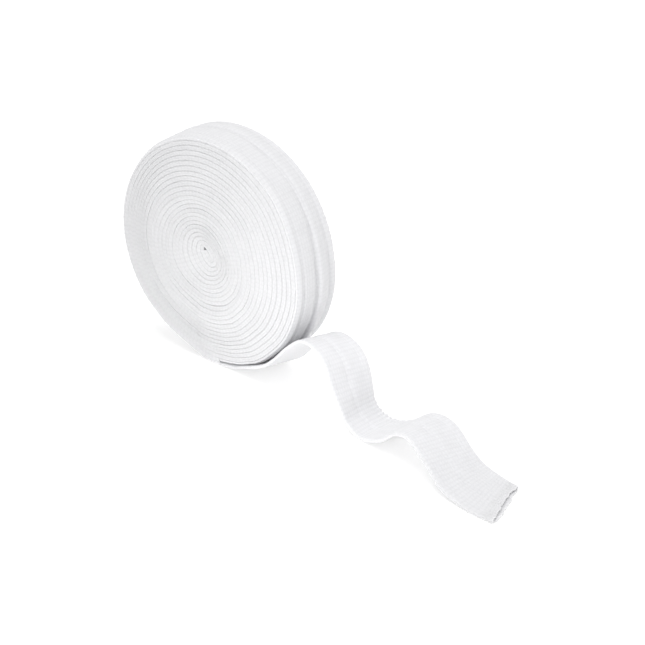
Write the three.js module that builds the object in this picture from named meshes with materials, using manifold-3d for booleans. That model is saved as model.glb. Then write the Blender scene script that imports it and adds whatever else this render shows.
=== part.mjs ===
import * as THREE from 'three';
import { mergeVertices } from 'three/addons/utils/BufferGeometryUtils.js';
import Module from 'manifold-3d';

// A knitted tubular gauze bandage. The lay-flat tube is wound into a disc that stands on its
// rim, and the free end runs out from under the disc and lies in two waves on the surface.
// Millimetres, +Z up, disc axis along Y. The origin is on the resting face, under the disc.

// Disc
const discRadius = 38.6;
const centreHeight = 39;
const tapeWidth = 16;
const flatHalf = 4.6;
const pressedFade = 8;
const stepWidth = 0.3;
const discColumns = 72;

// Free end
const tapeThickness = 1.2;
const stepsAlong = 66;
const dentShare = 0.5;
const cutSlant = 9.2;
const slantReach = 25;
const mouthDepth = 9;
const mouthWall = 0.45;
const mouthSlit = 0.15;
const mouthGape = 1;
const mouthReach = 0.86;
const mouthLip = 1;

const white = 0xf4f4f5;
const degree = Math.PI / 180;

// The knit across the tape: distance from its front fold as a share of the width, how far the
// cloth rises or sinks there, and its thickness as a share of the tape's.
const section = [
  { across: 0, rise: -0.6, thick: 0.45 },
  { across: 0.04, rise: 0, thick: 1.05 },
  { across: 0.14, rise: -0.05, thick: 1 },
  { across: 0.24, rise: -0.2, thick: 0.95 },
  { across: 0.34, rise: -0.05, thick: 1 },
  { across: 0.43, rise: -0.5, thick: 0.85 },
  { across: 0.53, rise: 0.1, thick: 1.05 },
  { across: 0.66, rise: -0.1, thick: 1 },
  { across: 0.83, rise: -0.35, thick: 0.9 },
  { across: 0.96, rise: 0, thick: 1.05 },
  { across: 1, rise: -0.6, thick: 0.45 },
];

// The disc's outline, turning anticlockwise from where the free end leaves the outer turn.
const outline = [
  { turned: 0, radius: 37.4 },
  { turned: 18, radius: 38.1 },
  { turned: 45, radius: 39.4 },
  { turned: 68, radius: 39.1 },
  { turned: 92, radius: 38.6 },
  { turned: 135, radius: 39.1 },
  { turned: 180, radius: 38.8 },
  { turned: 225, radius: 38.7 },
  { turned: 270, radius: 39.1 },
  { turned: 300, radius: 38.9 },
  { turned: 318, radius: 38.2 },
  { turned: 333, radius: 37.8 },
  { turned: 345, radius: 38.3 },
  { turned: 349, radius: 39.25 },
  { turned: 360, radius: 39.25 },
];

// How far the lengthwise groove wanders towards the back, as a share of the tape's width.
const grooveDrift = [
  { turned: 0, drift: 0.03 },
  { turned: 92, drift: -0.02 },
  { turned: 138, drift: 0.07 },
  { turned: 178, drift: 0.15 },
  { turned: 270, drift: 0.08 },
  { turned: 360, drift: 0 },
];

// Rings of turns that stand proud of the two faces or sink below them.
const faceRings = [
  { at: 0.2, rise: 0.35, spread: 0.06 },
  { at: 0.33, rise: -0.3, spread: 0.05 },
  { at: 0.44, rise: -0.45, spread: 0.03 },
  { at: 0.51, rise: 0.45, spread: 0.04 },
  { at: 0.66, rise: -0.25, spread: 0.05 },
  { at: 0.8, rise: 0.2, spread: 0.07 },
];
const faceRows = [0, 0.05, 0.1, 0.15, 0.2, 0.27, 0.34, 0.4, 0.45, 0.5, 0.56, 0.64, 0.72, 0.8, 0.88, 0.95];
const faceCrown = 0.8;
const ringShift = { x: -2.7, z: -1.9 };

// The two folds of the inner end, seen as small hollows in the front face.
const coreHollows = [
  { x: -2.3, z: 1.4, depth: 1.2, reach: 1.6 },
  { x: 0.8, z: -2.6, depth: 1, reach: 1.6 },
];

// The free end's middle line, from the disc to the cut, with its width and its sideways tilt.
const route = [
  { place: 'under the disc', x: 5.4, y: 0, z: 0.62, width: 16, tilt: 0 },
  { place: 'leaving the disc', x: 14.3, y: -0.6, z: 1.9, width: 15.8, tilt: -1.6 },
  { place: 'foot of the first wave', x: 26, y: -3.3, z: 6.8, width: 15.5, tilt: -4 },
  { place: 'first rise', x: 36.1, y: -4.5, z: 16.7, width: 15.2, tilt: -5 },
  { place: 'first crest, near side', x: 43.4, y: -5.6, z: 22, width: 15.2, tilt: -5.6 },
  { place: 'first crest, far side', x: 50.6, y: -7, z: 22.4, width: 15.3, tilt: -3.6 },
  { place: 'first brow', x: 56.6, y: -8.3, z: 19.1, width: 15.4, tilt: -1 },
  { place: 'first fall', x: 61.4, y: -9.6, z: 10.7, width: 15.4, tilt: -2.8 },
  { place: 'into the valley', x: 65, y: -9.9, z: 3.8, width: 15.5, tilt: -2 },
  { place: 'valley', x: 71.6, y: -10, z: 0.85, width: 15.8, tilt: 2 },
  { place: 'second rise', x: 80.4, y: -11.2, z: 4.2, width: 16.3, tilt: 5.3 },
  { place: 'second crest, near side', x: 88.3, y: -12.3, z: 9.7, width: 16.9, tilt: 5.2 },
  { place: 'second crest, far side', x: 96.6, y: -14.1, z: 10.8, width: 17.3, tilt: 1.9 },
  { place: 'second fall', x: 105.6, y: -16.9, z: 6.7, width: 17.9, tilt: -1.8 },
  { place: 'flat again', x: 113, y: -18.4, z: 2.6, width: 19.5, tilt: 1 },
  { place: 'before the cut', x: 125, y: -20, z: 0.75, width: 21, tilt: 1 },
  { place: 'middle of the cut', x: 131.2, y: -20.3, z: 0.8, width: 21.2, tilt: 0.5 },
];

// Value of one column between the rows of a table, eased so that the rows join smoothly.
function between(rows, key, column, at) {
  const next = Math.max(1, rows.findIndex((row) => row[key] >= at));
  const low = rows[next - 1];
  const high = rows[next];
  const share = (at - low[key]) / (high[key] - low[key]);
  const eased = 0.5 - 0.5 * Math.cos(Math.PI * share);
  return low[column] + (high[column] - low[column]) * eased;
}

function bump(distance, spread) {
  return Math.exp(-((distance / spread) ** 2));
}

// Mesh with merged corners, ready for a boolean or for a closed solid.
function closed(geometry) {
  geometry.deleteAttribute('normal');
  geometry.deleteAttribute('uv');
  return mergeVertices(geometry, 1e-4);
}

// How far a face stands out at a place, measured from the disc's middle.
function faceRise(x, z, isFront) {
  const outward = Math.hypot(x, z) / discRadius;
  const fade = THREE.MathUtils.smoothstep(1 - outward, 0, 0.4);
  const ringed = Math.hypot(x - ringShift.x * fade, z - ringShift.z * fade) / discRadius;
  let rise = faceCrown * (1 - outward ** 2);
  for (const ring of faceRings) {
    rise += ring.rise * bump(ringed - ring.at, ring.spread);
  }
  for (const hollow of coreHollows) {
    const depth = isFront ? hollow.depth : hollow.depth / 2;
    rise -= depth * bump(Math.hypot(x - hollow.x, z - hollow.z), hollow.reach);
  }
  return rise;
}

// Half section of the disc, from the middle of the back face round to that of the front.
function discProfile() {
  const half = tapeWidth / 2;
  const back = faceRows.map((row) => new THREE.Vector2(row * discRadius, half));
  const front = back.map((point) => new THREE.Vector2(point.x, -half)).reverse();
  const tread = section.map((row) => {
    return new THREE.Vector2(discRadius + row.rise, (row.across - 0.5) * tapeWidth);
  }).reverse();
  return [...back, ...tread, ...front];
}

// Place of one profile point in a column of the disc, turned from the free end's step.
function discPoint(point, turned) {
  const half = tapeWidth / 2;
  const stepAngle = Math.asin(flatHalf / centreHeight) - Math.PI / 2;
  const angle = stepAngle + turned * degree;
  const share = point.x / discRadius;
  const grown = between(outline, 'turned', 'radius', turned) - discRadius;
  const bottom = Math.abs(point.x * Math.cos(angle)) - flatHalf;
  const under = Math.sin(angle) < -0.9;
  const pressed = under ? THREE.MathUtils.smoothstep(bottom, 0, pressedFade) : 1;
  const isTread = share > 0.95 + 1e-6;
  const fold = isTread ? (point.x - discRadius) * pressed + discRadius : point.x;
  const radius = fold + grown * share ** 8;
  const x = radius * Math.cos(angle);
  const z = Math.max(-centreHeight, radius * Math.sin(angle));
  const middle = 1 - Math.abs(point.y / half) ** 2;
  const drift = between(grooveDrift, 'turned', 'drift', turned) * tapeWidth * middle;
  const rise = isTread ? 0 : faceRise(x, z, point.y < 0);
  const y = isTread ? point.y + drift : point.y + Math.sign(point.y) * rise;
  return new THREE.Vector3(x, y, z + centreHeight);
}

function woundDisc() {
  const profile = discProfile();
  const geometry = new THREE.LatheGeometry(profile, discColumns);
  const positions = geometry.getAttribute('position');
  const lastTurned = 360 - stepWidth / discRadius / degree;
  for (let index = 0; index < positions.count; index += 1) {
    const column = Math.floor(index / profile.length) % discColumns;
    const point = profile[index % profile.length];
    const turned = (column / (discColumns - 1)) * lastTurned;
    const placed = discPoint(point, turned);
    positions.setXYZ(index, placed.x, placed.y, placed.z);
  }
  return closed(geometry);
}

const middleLine = new THREE.CatmullRomCurve3(
  route.map((row) => new THREE.Vector3(row.x, row.y, row.z)), false, 'catmullrom', 0.5);
const widthAndTilt = new THREE.CatmullRomCurve3(
  route.map((row) => new THREE.Vector3(row.width, row.tilt, 0)), false, 'catmullrom', 0.5);

// Place, across and up directions and width of the free end, at a distance along it. Past the
// cut the tape would go straight on.
function tapeFrame(along) {
  const length = middleLine.getLength();
  const within = Math.min(along, length);
  const knot = middleLine.getUtoTmapping(within / length);
  const ahead = middleLine.getTangent(knot);
  const form = widthAndTilt.getPoint(knot);
  const across = new THREE.Vector3(0, 0, 1).cross(ahead).normalize();
  across.applyAxisAngle(ahead, form.y * degree);
  const centre = middleLine.getPoint(knot).addScaledVector(ahead, along - within);
  return { centre, across, up: ahead.clone().cross(across), width: form.x };
}

// Bends a flat slab onto the route: x runs along, y across and z through the thickness. Where it
// would sink below the surface it lies flat on it.
function bentOntoRoute(geometry, placeInTape) {
  const positions = geometry.getAttribute('position');
  const local = new THREE.Vector3();
  for (let index = 0; index < positions.count; index += 1) {
    local.fromBufferAttribute(positions, index);
    const { along, across, lift } = placeInTape(local);
    const frame = tapeFrame(along);
    const placed = frame.centre.clone();
    placed.addScaledVector(frame.across, across * frame.width);
    placed.addScaledVector(frame.up, lift);
    positions.setXYZ(index, placed.x, placed.y, Math.max(0, placed.z));
  }
  return closed(geometry);
}

// Distance along the tape of a point that would lie at along if the cut were square. The front
// fold is longer than the back one by cutSlant.
function slanted(along, across) {
  const length = middleLine.getLength();
  return along - cutSlant * across * THREE.MathUtils.smoothstep(along, length - slantReach, length);
}

// Gap between the two layers, which part towards the cut.
function gapeAt(along) {
  const share = THREE.MathUtils.clamp(1 - (middleLine.getLength() - along) / mouthDepth, 0, 1);
  return mouthGape * share ** 1.5;
}

// How far the upper layer is lifted by the gape: least at the folds, most in the middle.
function gapeLift(along, across) {
  return gapeAt(along) * (0.4 + 0.6 * Math.cos(across * Math.PI));
}

function tapeSlab() {
  const columns = section.length - 1;
  const slab = new THREE.BoxGeometry(1, 1, 1, stepsAlong, columns, 1);
  return bentOntoRoute(slab, (local) => {
    const row = section[Math.round((local.y + 0.5) * columns)];
    const straight = (local.x + 0.5) * middleLine.getLength();
    const across = row.across - 0.5;
    const along = slanted(straight, across);
    const isFold = row.across === 0 || row.across === 1;
    const half = 0.5 * tapeThickness * Math.min(row.thick, 1);
    const dent = isFold ? 0 : dentShare * row.rise;
    const lift = local.z > 0 ? half + dent + gapeLift(straight, across) : -half;
    return { along, across, lift };
  });
}

// The hollow of the open mouth, a thin wedge between the layers.
function mouthHollow() {
  const wedge = new THREE.BoxGeometry(1, 1, 1, 4, 6, 1);
  return bentOntoRoute(wedge, (local) => {
    const straight = middleLine.getLength() - mouthDepth + (local.x + 0.5) * (mouthDepth + mouthLip);
    const across = local.y * mouthReach;
    const along = slanted(straight, across);
    const floor = mouthWall - 0.5 * tapeThickness;
    const lift = local.z > 0 ? floor + mouthSlit + gapeLift(straight, across) : floor;
    return { along, across, lift };
  });
}

const wasm = await Module();
wasm.setup();

function asManifold(geometry) {
  return new wasm.Manifold(new wasm.Mesh({
    numProp: 3,
    vertProperties: new Float32Array(geometry.getAttribute('position').array),
    triVerts: new Uint32Array(geometry.getIndex().array),
  }));
}

function asGeometry(solid) {
  const mesh = solid.getMesh();
  const geometry = new THREE.BufferGeometry();
  geometry.setAttribute('position', new THREE.BufferAttribute(mesh.vertProperties, 3));
  geometry.setIndex(new THREE.BufferAttribute(mesh.triVerts, 1));
  return geometry;
}

function looseTape() {
  return asGeometry(asManifold(tapeSlab()).subtract(asManifold(mouthHollow())));
}

function gauze(name, geometry) {
  geometry.computeVertexNormals();
  const material = new THREE.MeshStandardMaterial({ color: white, roughness: 0.95, metalness: 0 });
  const mesh = new THREE.Mesh(geometry, material);
  mesh.name = name;
  return mesh;
}

const bandage = new THREE.Group();
bandage.add(gauze('wound_roll', woundDisc()));
bandage.add(gauze('loose_end', looseTape()));

export default bandage;
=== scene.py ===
import math
import bpy
import bmesh
import numpy as np
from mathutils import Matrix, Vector


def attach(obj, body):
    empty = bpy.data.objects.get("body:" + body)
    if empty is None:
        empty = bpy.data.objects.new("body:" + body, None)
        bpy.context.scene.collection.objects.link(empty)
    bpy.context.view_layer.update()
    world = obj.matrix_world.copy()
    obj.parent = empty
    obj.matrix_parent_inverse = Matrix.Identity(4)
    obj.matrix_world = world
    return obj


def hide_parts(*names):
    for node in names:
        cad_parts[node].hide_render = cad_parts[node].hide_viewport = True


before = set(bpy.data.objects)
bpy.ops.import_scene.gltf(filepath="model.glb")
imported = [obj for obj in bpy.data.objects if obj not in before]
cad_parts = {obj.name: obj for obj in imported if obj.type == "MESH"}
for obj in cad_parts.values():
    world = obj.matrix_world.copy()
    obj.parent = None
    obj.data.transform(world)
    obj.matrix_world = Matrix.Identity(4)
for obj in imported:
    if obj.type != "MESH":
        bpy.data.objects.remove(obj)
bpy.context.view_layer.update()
mm = 0.001
scene = bpy.context.scene
print("frame loaded")


# The knitted tube, lay-flat, in millimetres.
knit = {
    "width": 16.0,
    "thickness": 1.2,
    "ribPitch": 1.49,      # one course of stitches
    "ribHeight": 0.11,
    "ribWobble": 0.15,     # how far a rib strays from straight
    "wale": 0.94,          # one column of stitches
    "waleShare": 0.45,     # how much of a rib its stitches make
    "foldPuff": 0.16,      # the folds are fuller than the middle
}

# How the tape is meshed.
meshing = {
    "weld": 0.002,
    "leastHeight": 0.02,   # over the floor
    "sharpFrom": 1.05,     # edges that turn further, in radians, are sharp
}

# Lengthwise creases of the flat tube: place as a share of the width from the front fold.
creases = [
    {"at": 0.12, "rise": -0.3, "spread": 0.035},
    {"at": 0.43, "rise": -0.7, "spread": 0.045},
    {"at": 0.54, "rise": 0.28, "spread": 0.06},
    {"at": 0.82, "rise": -0.45, "spread": 0.06},
]

disc = {
    "radius": 38.6,
    "centreHeight": 39.0,
    "turns": 26,
    "pitch": 1.52,
    "flatHalf": 4.6,
    "crown": 0.8,          # how far the faces bulge
    "uneven": 0.16,        # how far the inner turns stray from round
    "ringShift": (-2.7, -1.9),
    "coreShift": (0.3, -0.3),
    "coreStretch": 1.4,    # half the length of the fold at the core
    "coreAngle": -51.0,
    "eye": 0.7,            # how far each fold at the core stays open
}

# The disc's outline, turning anticlockwise from where the free end leaves the outer turn.
outline = [(0, 37.88), (16, 38.6), (27, 39.05), (38, 38.9), (50, 39.2), (68, 39.1), (92, 38.6),
           (135, 39.1), (180, 38.9), (225, 38.7), (270, 39.1), (300, 38.9), (318, 38.2), (333, 37.8),
           (345, 38.3), (349, 39.15), (360, 39.4)]  # turned, radius

# How far the creases drift across the outer turn, and how deep they are.
grooveDrift = [(0, 0.09), (92, 0.035), (138, 0.095), (178, 0.175), (270, 0.1), (360, 0.03)]
grooveDepth = [(0, 1), (50, 1.3), (80, 1.5), (100, 1), (127, 0.65), (360, 0.8)]  # turned, share

# How far the front folds stand out.
frontStand = [(0, 1.5), (45, 1.7), (100, 1.7), (135, 0.9), (178, 0.5), (225, 0.7), (300, 0.9),
              (345, 1.3), (360, 1.5)]  # turned, millimetres

# Rings of turns that stand proud of the faces or sink below them, placed as shares of the radius.
faceRings = [(0.2, 0.3, 0.06), (0.33, -0.3, 0.045), (0.44, -0.45, 0.04), (0.52, 0.4, 0.045),
             (0.66, -0.3, 0.05), (0.8, 0.2, 0.06)]  # place, rise, spread

# The free end's middle line from the disc to the cut: x, y, z, width and tilt.
route = [
    (5.4, 0, 0.62, 16, 0),              # under the disc
    (14.3, -0.6, 1.9, 15.8, -1.6),      # leaving the disc
    (26, -3.3, 6.8, 15.5, -4),          # foot of the first wave
    (36.1, -4.5, 16.7, 15.2, -5),       # first rise
    (43.4, -5.6, 22, 15.2, -5.6),       # first crest, near side
    (50.6, -7, 22.4, 15.3, -3.6),       # first crest, far side
    (56.6, -8.3, 19.1, 15.4, -1),       # first brow
    (61.4, -9.6, 10.7, 15.4, -2.8),     # first fall
    (65, -9.9, 3.8, 15.5, -2),          # into the valley
    (71.6, -10, 0.85, 15.8, 2),         # valley
    (80.4, -11.2, 4.2, 16.3, 5.3),      # second rise
    (88.3, -12.3, 9.7, 16.9, 5.2),      # second crest, near side
    (96.6, -14.1, 10.8, 17.3, 1.9),     # second crest, far side
    (105.6, -16.9, 6.7, 17.9, -1.8),    # second fall
    (113, -18.4, 2.6, 19.5, 1),         # flat again
    (125, -20, 0.75, 21, 1),            # before the cut
    (131.2, -20.3, 0.8, 21.2, 0.5),     # middle of the cut
]


def eased(rows, at):
    # Value between the rows of a two-column table, eased so that the rows join smoothly.
    keys = np.array([row[0] for row in rows], float)
    values = np.array([row[1] for row in rows], float)
    high = np.clip(np.searchsorted(keys, at), 1, len(keys) - 1)
    share = (at - keys[high - 1]) / (keys[high] - keys[high - 1])
    share = 0.5 - 0.5 * np.cos(np.pi * np.clip(share, 0, 1))
    return values[high - 1] + (values[high] - values[high - 1]) * share


def smooth(value, low, high):
    share = np.clip((value - low) / (high - low), 0, 1)
    return share * share * (3 - 2 * share)


def bump(distance, spread):
    return np.exp(-((distance / spread) ** 2))


def waver(place, seed, length):
    # Slow, even-handed unevenness along a length, from a few sines of unlike pitch.
    total = 0
    for step, share in enumerate((1.0, 0.62, 0.37, 0.21)):
        total = total + math.sqrt(share) * np.sin(place / (length * share) * 2 * np.pi + seed * (step + 1.7))
    return total / 2.2


def curveThrough(rows, steps):
    # Smooth curve through the rows, with its ends carried on straight.
    points = np.array(rows, float)
    points = np.vstack([2 * points[0] - points[1], points, 2 * points[-1] - points[-2]])
    t = np.linspace(0, 1, steps, endpoint=False)[:, None]
    pieces = []
    for before, start, end, after in zip(points, points[1:], points[2:], points[3:]):
        square = 2 * before - 5 * start + 4 * end - after
        cube = 3 * start - before - 3 * end + after
        pieces.append(0.5 * (2 * start + (end - before) * t + square * t ** 2 + cube * t ** 3))
    return np.vstack([*pieces, points[-2:-1]])


def unit(vectors):
    return vectors / np.linalg.norm(vectors, axis=1)[:, None]


def turnedAbout(vectors, axes, angles):
    # Rotates each vector about its own axis, which is at right angles to it.
    cos, sin = np.cos(angles)[:, None], np.sin(angles)[:, None]
    return vectors * cos + np.cross(axes, vectors) * sin


# The free end's middle line, measured along its length.
fine = curveThrough(route, 60)
fineLength = np.r_[0, np.cumsum(np.linalg.norm(np.diff(fine[:, :3], axis=0), axis=1))]
looseLength = fineLength[-1]


def looseStations(distance):
    # Place and directions of the free end at distances from the disc. Past the cut it goes straight on.
    within = np.clip(distance, 0, looseLength)
    rows = np.stack([np.interp(within, fineLength, fine[:, k]) for k in range(5)], axis=1)
    ahead = np.gradient(fine[:, :3], fineLength, axis=0)
    along = unit(np.stack([np.interp(within, fineLength, ahead[:, k]) for k in range(3)], axis=1))
    across = unit(np.cross([0, 0, 1.0], along))
    across = turnedAbout(across, along, np.radians(rows[:, 4]))
    centre = rows[:, :3] + along * (distance - within)[:, None]
    return {"centre": centre, "along": along, "across": across, "up": np.cross(along, across),
            "width": rows[:, 3], "thickness": np.full(len(distance), knit["thickness"])}


# Winding of the disc. A turn count of 0 is at the core and disc["turns"] is at the free end.
stepAngle = math.asin(disc["flatHalf"] / disc["centreHeight"]) - math.pi / 2


def woundOuter(count):
    # Outer surface of the tape at a turn count, in the disc's plane, from the disc's middle.
    inward = disc["turns"] - count
    turned = np.where(inward <= 0, 360.0, (count % 1.0) * 360)
    angle = stepAngle + 2 * np.pi * count
    base = eased(outline, turned) - disc["pitch"] * turned / 360
    scale = 1 - disc["pitch"] / outline[0][1] * (inward - 1)
    core = 1 - smooth(scale, 0.03, 0.34)
    uneven = disc["uneven"] * np.sin(3 * angle + 9 * scale)
    radius = base * scale + uneven * smooth(1 - scale, 0.02, 0.15) * smooth(scale, 0, 0.2)
    axis = math.radians(disc["coreAngle"])
    stretch = disc["coreStretch"] * (1 - smooth(scale, 0.02, 0.5)) * np.tanh(2.5 * np.cos(angle - axis))
    shift = np.outer(smooth(1 - scale, 0, 0.4), disc["ringShift"])
    shift = shift + core[:, None] * (np.array(disc["coreShift"]) - shift)
    place = shift + np.stack([radius * np.cos(angle), radius * np.sin(angle)], axis=1)
    place = place + np.outer(stretch, [math.cos(axis), math.sin(axis)])
    place[:, 1] = np.maximum(place[:, 1], -disc["centreHeight"])
    return place


def faceRise(place):
    # How far a face stands out at places in the disc's plane.
    outward = np.hypot(place[:, 0], place[:, 1]) / disc["radius"]
    fade = smooth(1 - outward, 0, 0.4)
    ringed = np.hypot(place[:, 0] - disc["ringShift"][0] * fade, place[:, 1] - disc["ringShift"][1] * fade)
    rise = disc["crown"] * (1 - outward ** 2)
    for at, height, spread in faceRings:
        rise = rise + height * bump(ringed / disc["radius"] - at, spread)
    return rise


def woundStations(count):
    outer, inner = woundOuter(count), woundOuter(count - 1)
    middle = (outer + inner) / 2
    thickness = np.linalg.norm(outer - inner, axis=1)
    bend = np.cos(stepAngle + 2 * np.pi * count - math.radians(disc["coreAngle"])) ** 2
    hollow = disc["eye"] * bend ** 4 * (1 - smooth(count, 1.75, 1.95))     # at the two folds of the inner end
    middle = middle + unit(outer - inner) * (hollow / 2)[:, None]
    thickness = thickness - hollow
    along = unit(np.gradient(middle, axis=0))
    still = np.zeros(len(count))
    centre = np.stack([middle[:, 0], still, middle[:, 1] + disc["centreHeight"]], axis=1)
    along = np.stack([along[:, 0], still, along[:, 1]], axis=1)
    across = np.tile([0, 1.0, 0], (len(count), 1))
    return {"centre": centre, "along": along, "across": across, "up": np.cross(along, across),
            "width": np.full(len(count), knit["width"]), "thickness": thickness}


def sampledByLength(stationsOf, start, end, spacing):
    # Stations at an even spacing along the tape, and the distance of each from the first.
    rough = np.linspace(start, end, int(abs(end - start) * 720) + 2)
    line = stationsOf(rough)["centre"]
    length = np.r_[0, np.cumsum(np.linalg.norm(np.diff(line, axis=0), axis=1))]
    steps = int(round(length[-1] / spacing))
    distance = np.linspace(0, length[-1], steps + 1)
    return np.interp(distance, length, rough), distance


def sectionAround(steps, plump):
    # Closed outline of the flat tube, as shares of its half width and half thickness. plump sets how
    # round its folds are on the lower and the upper side.
    turn = 2 * np.pi * np.arange(steps + 1) / steps
    across, swing = -np.cos(turn), np.round(np.sin(turn), 6)
    side = -np.sign(swing) * np.abs(swing) ** np.where(swing < 0, plump[1], plump[0])
    return across, side


def knitRelief(distance, girth, height):
    # Ribs of the knit, each a row of stitch heads set half a stitch over from the last.
    wobble = knit["ribWobble"] * (waver(girth, 0.7, 11) + waver(distance + 3 * girth, 2.2, 19))
    phase = (distance + wobble) / knit["ribPitch"]
    rib = 0.5 + 0.5 * np.cos(2 * np.pi * phase)
    row = np.round(phase)
    stitch = np.cos(2 * np.pi * girth / knit["wale"] + np.pi * row)
    return height * (rib ** 0.8) * (1 - knit["waleShare"] + knit["waleShare"] * stitch)


def gridSheet(name, rows, columns):
    # A flat grid to be laid into shape, with the row and column of each of its vertices.
    mesh = bpy.data.meshes.new(name)
    grid = bmesh.new()
    bmesh.ops.create_grid(grid, x_segments=rows, y_segments=columns, size=0.5)
    grid.to_mesh(mesh)
    grid.free()
    flat = np.zeros(len(mesh.vertices) * 3)
    mesh.vertices.foreach_get("co", flat)
    flat = flat.reshape(-1, 3)
    row = np.rint((flat[:, 0] + 0.5) * rows).astype(int)
    column = np.rint((flat[:, 1] + 0.5) * columns).astype(int)
    return mesh, row, column


def finishMesh(mesh, places, lengths, girths):
    # lengths and girths give the knit's own map, in millimetres, at each vertex.
    mesh.vertices.foreach_set("co", (places * mm).ravel())
    corners = np.zeros(len(mesh.loops), int)
    mesh.loops.foreach_get("vertex_index", corners)
    layer = mesh.uv_layers.new(name="knit").data
    layer.foreach_set("uv", np.stack([lengths[corners], girths[corners]], axis=1).ravel())
    work = bmesh.new()
    work.from_mesh(mesh)
    bmesh.ops.remove_doubles(work, verts=work.verts, dist=meshing["weld"] * mm)
    bmesh.ops.recalc_face_normals(work, faces=work.faces)
    for side in work.edges:
        side.smooth = len(side.link_faces) != 2 or side.calc_face_angle() < meshing["sharpFrom"]
    work.to_mesh(mesh)
    work.free()
    mesh.polygons.foreach_set("use_smooth", np.ones(len(mesh.polygons), bool))
    mesh.update()
    piece = bpy.data.objects.new(mesh.name, mesh)
    scene.collection.objects.link(piece)
    return piece


def girthAlong(across, side):
    # Distance round the flat tube at each column.
    half = knit["width"] / 2
    step = np.hypot(np.diff(across) * half, np.diff(side) * knit["thickness"] / 2)
    return np.r_[0, np.cumsum(step)]


def laidTape(name, lengths, around, plump, stationsAt, relief, edge, lift=None):
    # Lays a flat tube along its stations. stationsAt(row, c, s) places it, relief gives the rise of the
    # knit, edge how far each fold stands out and lift the parting of the layers.
    rows = len(lengths) - 1
    mesh, row, column = gridSheet(name, rows, around)
    acrossShare, sideShare = sectionAround(around, plump)
    c, s = acrossShare[column], sideShare[column]
    stations = stationsAt(row, c, s)
    half = stations["width"] / 2 + edge(row, c, s)
    thick = stations["thickness"] / 2 * (1 + knit["foldPuff"] * bump(np.abs(c) - 0.9, 0.12))
    rise = relief(row, c, s)
    side = s * (thick + rise)
    out = c * half + np.sign(c) * rise * np.sqrt(np.clip(1 - s * s, 0, 1))
    if lift is not None:
        side = side + lift(row, c, s)
    places = stations["centre"] + stations["across"] * out[:, None] + stations["up"] * side[:, None]
    places[:, 2] = np.maximum(places[:, 2], meshing["leastHeight"])
    girths = girthAlong(acrossShare, sideShare)
    return finishMesh(mesh, places, lengths[row], girths[column])


def creaseRelief(share, drift):
    total = 0
    for crease in creases:
        at = crease["at"] + drift * (1 - (2 * crease["at"] - 1) ** 2)
        total = total + crease["rise"] * bump(share - at, crease["spread"])
    return total


# Materials

def knitMaterial(name, settings):
    material = bpy.data.materials.new(name)
    material.use_nodes = True
    nodes, links = material.node_tree.nodes, material.node_tree.links
    nodes.clear()

    def node(kind, **values):
        made = nodes.new(kind)
        for key, value in values.items():
            setattr(made, key, value)
        return made

    def joined(operation, first, second=None):
        made = node("ShaderNodeMath", operation=operation)
        for socket, value in zip(made.inputs, (first, second)):
            if value is None:
                continue
            if isinstance(value, (int, float)):
                socket.default_value = value
            else:
                links.new(value, socket)
        return made.outputs[0]

    uv = node("ShaderNodeUVMap", uv_map="knit")
    split = node("ShaderNodeSeparateXYZ")
    links.new(uv.outputs[0], split.inputs[0])
    course = joined("DIVIDE", split.outputs[0], knit["ribPitch"])   # the map is in millimetres
    wale = joined("DIVIDE", split.outputs[1], knit["wale"])
    slant = joined("MULTIPLY", joined("PINGPONG", wale, 0.5), settings["slant"])
    rib = joined("ABSOLUTE", joined("SINE", joined("MULTIPLY", joined("ADD", course, slant), math.pi)))
    column = joined("ABSOLUTE", joined("SINE", joined("MULTIPLY", wale, math.pi)))
    loops = joined("MULTIPLY", joined("POWER", rib, 0.6), joined("POWER", column, 0.4))

    place = node("ShaderNodeTexCoord")
    fibres = node("ShaderNodeTexNoise", noise_dimensions="3D")
    fibres.inputs["Scale"].default_value = settings["fibreScale"]
    fibres.inputs["Detail"].default_value = 4
    fibres.inputs["Roughness"].default_value = 0.65
    links.new(place.outputs["Object"], fibres.inputs["Vector"])
    clouds = node("ShaderNodeTexNoise", noise_dimensions="3D")
    clouds.inputs["Scale"].default_value = settings["cloudScale"]
    clouds.inputs["Detail"].default_value = 3
    links.new(place.outputs["Object"], clouds.inputs["Vector"])

    height = joined("ADD", joined("MULTIPLY", loops, settings["loopHeight"]),
                    joined("MULTIPLY", fibres.outputs["Fac"], settings["fibreHeight"]))
    bumpNode = node("ShaderNodeBump")
    bumpNode.inputs["Strength"].default_value = settings["bumpStrength"]
    bumpNode.inputs["Distance"].default_value = mm
    links.new(height, bumpNode.inputs["Height"])

    # Painted shade: the colour runs darker in the hollows between the knit's loops, where shade falls; the
    # clouds add random tone.
    shadeAndTone = joined("ADD", joined("MULTIPLY", loops, 0.7), joined("MULTIPLY", clouds.outputs["Fac"], 0.6))
    ramp = node("ShaderNodeValToRGB")
    ramp.color_ramp.elements[0].position = 0.1
    ramp.color_ramp.elements[0].color = (*settings["hollowShadeColour"], 1)
    ramp.color_ramp.elements[1].position = 0.95
    ramp.color_ramp.elements[1].color = (*settings["yarnColour"], 1)
    links.new(shadeAndTone, ramp.inputs[0])

    cloth = node("ShaderNodeBsdfPrincipled")
    links.new(ramp.outputs[0], cloth.inputs["Base Color"])
    cloth.inputs["Roughness"].default_value = 0.92
    cloth.inputs["Subsurface Weight"].default_value = settings["throughLight"]
    cloth.inputs["Subsurface Radius"].default_value = (1, 1, 1)
    cloth.inputs["Subsurface Scale"].default_value = settings["throughReach"]
    cloth.inputs["Specular IOR Level"].default_value = 0.25
    cloth.inputs["Sheen Weight"].default_value = settings["sheen"]
    cloth.inputs["Sheen Roughness"].default_value = 0.5
    links.new(bumpNode.outputs[0], cloth.inputs["Normal"])
    output = node("ShaderNodeOutputMaterial")
    links.new(cloth.outputs[0], output.inputs[0])
    return material


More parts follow.
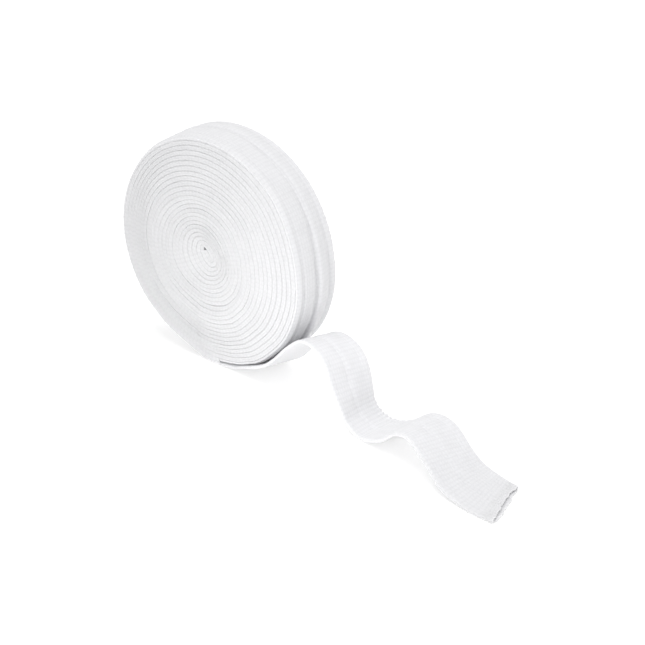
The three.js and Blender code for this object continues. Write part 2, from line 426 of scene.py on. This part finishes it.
gauze = knitMaterial("gauzeKnit", {
    "slant": 0.35, "fibreScale": 5200, "cloudScale": 260, "loopHeight": 0.16, "fibreHeight": 0.1,
    "bumpStrength": 0.45, "sheen": 0.15, "throughLight": 0.6, "throughReach": 1.2 * mm,
    # The darker of these two colours is painted shade in the knit's hollows.
    "yarnColour": (0.79, 0.79, 0.806), "hollowShadeColour": (0.725, 0.725, 0.74),
})
print("materials made")


# Roll

wound = {
    "spacing": 0.33,       # steps along the tape
    "coreCount": 0.6,      # where the inner end starts
    "foldDepth": 0.07,
    "foldStitches": 17,    # columns of stitches from one fold to the other
    "edgeWander": 0.16,    # turns that stand proud or sink
    "edgeRibs": 0.14,
    "coreStand": 1.1,      # how far the front folds stand out at the core
    "standTurns": (3, 20), # where that eases to frontStand
}

outerTurn = {
    "spacing": 0.248,
    "around": 64,
    "plump": (0.4, 0.08),
    "thinStart": 355,      # where the turn eases to the free end's thickness
    "flare": 0.9,          # the back of the rim, by the free end
    "flareAt": 28,
    "flareReach": 18,
    "rounding": 0.5,       # the outer surface falls away to the front fold
    "roundingReach": 0.1,
    "softness": 0.1,
}


def standsOut(count, seed):
    # How far a fold stands out from the plain width at the tape's outer surface, at a turn count.
    wander = waver(count, seed, 2.1) + 0.3 * waver(count, seed + 5, 0.31)
    return faceRise(woundOuter(count)) + wound["edgeWander"] * wander


def edgeStands(count):
    # The same for both folds, from the outer side of the tape to its inner side, where the next turn lies.
    outer = np.stack([standsOut(count, seed) for seed in (2.4, 13.4)])
    inner = np.stack([standsOut(count - 1, seed) for seed in (2.4, 13.4)])
    core = wound["coreStand"]
    front = core + (eased(frontStand, (count % 1) * 360) - core) * smooth(count, *wound["standTurns"])
    outer[0], inner[0] = outer[0] + front, inner[0] + front

    def edge(row, c, s):
        fold = (c > 0).astype(int)
        return outer[fold, row] * (1 - s) / 2 + inner[fold, row] * (1 + s) / 2

    return edge


def makeWoundTurns():
    last = disc["turns"] - 1
    count, distance = sampledByLength(woundStations, wound["coreCount"], last, wound["spacing"])
    stations = woundStations(count)
    distance = distance - distance[-1]
    edge = edgeStands(count)
    bend = np.array([0.04, 1 / 3, 0.5, 2 / 3, 0.96]) * np.pi             # one fold, from side to side
    dip = wound["foldDepth"] / (knit["width"] / 2)
    reach = 1 - dip * (0.5 + 0.5 * np.cos(2 * np.pi * np.cos(bend)))
    acrossShare = np.r_[-reach, reach, -reach[:1]]
    sideShare = np.r_[np.cos(bend), -np.cos(bend), np.cos(bend[:1])]
    mesh, row, column = gridSheet("woundTurns", len(distance) - 1, len(acrossShare) - 1)
    c, s = acrossShare[column], sideShare[column]
    rise = knitRelief(distance[row], 8 * s, wound["edgeRibs"]) * (1 - np.abs(s) ** 4)
    half = stations["width"][row] / 2
    out = c * half + np.sign(c) * (edge(row, c, s) + rise)
    side = s * stations["thickness"][row] / 2
    sideways = stations["across"][row] * out[:, None]
    places = stations["centre"][row] + sideways + stations["up"][row] * side[:, None]
    stitch = knit["wale"] * (1 - np.cos(bend))                          # two stitches go round each fold
    layer = wound["foldStitches"] * knit["wale"]
    girths = np.r_[stitch, stitch + layer, stitch[:1] + 2 * layer]
    return finishMesh(mesh, places, distance[row], girths[column]), abs(distance[0])


def makeOuterTurn():
    last = disc["turns"]
    count, distance = sampledByLength(woundStations, last - 1, last, outerTurn["spacing"])
    stations = woundStations(count)
    turned = (count - (last - 1)) * 360
    drift = eased(grooveDrift, turned)
    deep = eased(grooveDepth, turned)
    flare = outerTurn["flare"] * bump(turned - outerTurn["flareAt"], outerTurn["flareReach"])
    thickness = np.minimum(stations["thickness"], disc["pitch"])
    thickness = thickness + (knit["thickness"] - thickness) * smooth(turned, outerTurn["thinStart"], 360)
    outward = (stations["thickness"] - thickness) / 2
    stations["centre"] = stations["centre"] - stations["up"] * outward[:, None]
    stations["thickness"] = thickness
    # The relief fades out where the disc stands on the turn.
    pressed = smooth(np.abs(stations["centre"][:, 0]) - disc["flatHalf"], 0, 8)
    pressed = np.where(stations["centre"][:, 2] < 8, pressed, 1)
    edge = edgeStands(count)

    def stationsAt(row, c, s):
        return {key: value[row] for key, value in stations.items()}

    def relief(row, c, s):
        rib = knitRelief(distance[row], c * knit["width"] / 2, knit["ribHeight"])
        crease = deep[row] * creaseRelief(c / 2 + 0.5, drift[row]) + flare[row] * smooth(c, -0.3, 1)
        rounding = -outerTurn["rounding"] * bump(c + 1, outerTurn["roundingReach"])
        soft = outerTurn["softness"] * waver(distance[row] + 9 * c, 1.3, 31) * (1 - c * c)
        return (rib + (crease + rounding) * (s < 0) + soft) * pressed[row]

    around, plump = outerTurn["around"], outerTurn["plump"]
    return laidTape("outerTurn", distance, around, plump, stationsAt, relief, edge), distance[-1]


woundPiece, woundLength = makeWoundTurns()
print("wound turns laid", round(woundLength), "mm,", len(woundPiece.data.polygons), "faces")
outerPiece, outerLength = makeOuterTurn()
print("outer turn laid", round(outerLength), "mm,", len(outerPiece.data.polygons), "faces")


# Free end

loose = {
    "spacing": 0.248,
    "around": 96,
    "plump": (0.3, 0.3),
    "tuck": 0.9,           # how far it reaches back to the outer turn
    "frontFrom": 4.0,      # its front fold draws in from the disc's face
    "frontReach": 40.0,    # to its own width
    "mouthDepth": 6.0,
    "mouthGape": 0.3,
    "wall": 0.48,
    "lining": 5.0,         # how far the inside of the mouth is made
    "lipBack": 1.3,        # the upper layer is cut shorter
    "cutSlant": 9.2,       # the front fold is longer than the back one
    "slantReach": 25.0,
    "corner": 1.1,         # the corners of the cut are a little rounded
    "ragged": 0.3,
    "raggedReach": 4.0,
    "creaseShare": 0.28,
    "ribShare": 0.25,
    "spreadAt": 84.0,      # the valley, where the far fold's ribs are spread
    "spreadReach": 8.0,
    "spreadRise": 0.6,
    "softness": 0.12,
}


def makeLooseEnd():
    # The rows run along the outside, over the cut's lip and back into the mouth as its lining.
    outSteps = int(round(looseLength / loose["spacing"]))
    wallSteps, inSteps = 2, 24
    step = np.arange(outSteps + wallSteps + inSteps + 1)
    straight = np.clip(step / outSteps, 0, 1) * (looseLength + loose["tuck"]) - loose["tuck"]
    inward = np.clip((step - outSteps - wallSteps) / inSteps, 0, 1)
    straight = straight - inward * loose["lining"]
    thinning = np.clip((step - outSteps) / wallSteps, 0, 1) * loose["wall"] * (1 + 0.2 * inward)
    outside = np.where(step <= outSteps, 1.0, 0.0)

    def slanted(row, c, s):
        ramp = smooth(straight[row], looseLength - loose["slantReach"], looseLength)
        ragged = loose["ragged"] * waver(8 * c, 2.9, 5) - loose["lipBack"] * np.clip(s, 0, 1) * (1 - c ** 4)
        corner = loose["corner"] * smooth(-c, 0.6, 1) + 0.4 * loose["corner"] * smooth(c, 0.8, 1)
        atCut = smooth(straight[row], looseLength - loose["raggedReach"], looseLength)
        return straight[row] - (loose["cutSlant"] * c / 2 + corner) * ramp + ragged * atCut

    def stationsAt(row, c, s):
        return looseStations(slanted(row, c, s))

    def edge(row, c, s):
        drawnIn = smooth(straight[row], loose["frontFrom"], loose["frontReach"])
        return frontStand[0][1] * (c < 0) * (1 - drawnIn)

    def relief(row, c, s):
        distance = slanted(row, c, s)
        spread = bump(distance - loose["spreadAt"], loose["spreadReach"]) * smooth(c, 0.35, 0.9)
        height = loose["ribShare"] * knit["ribHeight"] + loose["spreadRise"] * spread
        rib = knitRelief(distance, c * knit["width"] / 2, height)
        crease = loose["creaseShare"] * creaseRelief(c / 2 + 0.5, 0) * (s > 0)
        soft = loose["softness"] * waver(distance + 7 * c, 0.4, 27) * (1 - c * c)
        return (rib + crease + soft) * outside[row] - thinning[row]

    def lift(row, c, s):
        fromCut = (looseLength - straight[row]) / loose["mouthDepth"]
        gape = loose["mouthGape"] * np.clip(1 - fromCut, 0, 1) ** 1.5
        return gape * (0.4 + 0.6 * np.cos(c * np.pi / 2)) * np.clip(s + 0.5, 0, 1)

    lengths = outerLength + straight
    return laidTape("looseEnd", lengths, loose["around"], loose["plump"], stationsAt, relief, edge, lift)


loosePiece = makeLooseEnd()
print("free end laid", round(looseLength), "mm,", len(loosePiece.data.polygons), "faces")

for piece in (woundPiece, outerPiece, loosePiece):
    piece.data.materials.append(gauze)
    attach(piece, "root")

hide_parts("wound_roll")
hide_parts("wound_roll")
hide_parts("loose_end")


# Camera, floor and light

view = {
    "azimuth": 41.155,     # degrees from the front towards the free end
    "elevation": 26.908,
    "distance": 1086.8,
    "aside": 30.16,
    "down": 25.35,
    "lens": 189.24,
}


def makeCamera():
    a, e = math.radians(view["azimuth"]), math.radians(view["elevation"])
    back = np.array([math.sin(a) * math.cos(e), -math.cos(a) * math.cos(e), math.sin(e)])
    right = np.array([math.cos(a), math.sin(a), 0])
    up = np.cross(back, right)
    middle = np.array([0, 0, disc["centreHeight"]])
    place = middle + back * view["distance"] + right * view["aside"] - up * view["down"]
    data = bpy.data.cameras.new("camera")
    data.lens = view["lens"]
    data.sensor_width = 36
    data.clip_start = 0.05
    camera = bpy.data.objects.new("camera", data)
    camera.location = place * mm
    camera.rotation_euler = (math.pi / 2 - e, 0, a)
    scene.collection.objects.link(camera)
    scene.camera = camera


def makeFloor():
    mesh = bpy.data.meshes.new("floor")
    work = bmesh.new()
    bmesh.ops.create_grid(work, x_segments=2, y_segments=2, size=4)
    work.to_mesh(mesh)
    work.free()
    floor = bpy.data.objects.new("floor", mesh)
    scene.collection.objects.link(floor)
    material = bpy.data.materials.new("paleFloor")
    material.use_nodes = True
    shader = material.node_tree.nodes["Principled BSDF"]
    shader.inputs["Base Color"].default_value = (0.96, 0.96, 0.96, 1)
    shader.inputs["Roughness"].default_value = 1
    shader.inputs["Specular IOR Level"].default_value = 0
    shader.inputs["Emission Color"].default_value = (1, 1, 0.98, 1)    # a light table, so shadows stay pale
    shader.inputs["Emission Strength"].default_value = 0.22
    mesh.materials.append(material)


def hang(data, place, aim):
    # Puts a light at a place and points it.
    lamp = bpy.data.objects.new(data.name, data)
    lamp.location = place
    lamp.rotation_euler = (Vector(aim) - Vector(place)).to_track_quat("-Z", "Y").to_euler()
    scene.collection.objects.link(lamp)


def areaLight(name, place, aim, size, power):
    data = bpy.data.lights.new(name, "AREA")
    data.size = size
    data.energy = power
    hang(data, place, aim)


def spotLight(name, place, aim, cone, size, power):
    data = bpy.data.lights.new(name, "SPOT")
    data.spot_size = math.radians(cone)
    data.spot_blend = 1
    data.shadow_soft_size = size
    data.energy = power
    hang(data, place, aim)


makeCamera()
makeFloor()
spotLight("faceLight", (0.14, -0.75, 0.24), aim=(0.046, 0, 0.022), cone=15, size=0.06, power=9.4)
areaLight("overhead", (0.06, 0.1, 1.1), aim=(0.03, 0, 0), size=1.2, power=5.6)
areaLight("sideLight", (0.5, -0.05, 0.75), aim=(0.03, 0, 0.02), size=0.7, power=0.5)
world = bpy.data.worlds.new("studio")
world.use_nodes = True
world.node_tree.nodes["Background"].inputs[0].default_value = (1, 1, 1, 1)
world.node_tree.nodes["Background"].inputs[1].default_value = 0.65
scene.world = world
scene.view_settings.view_transform = "Standard"
print("stage lit")
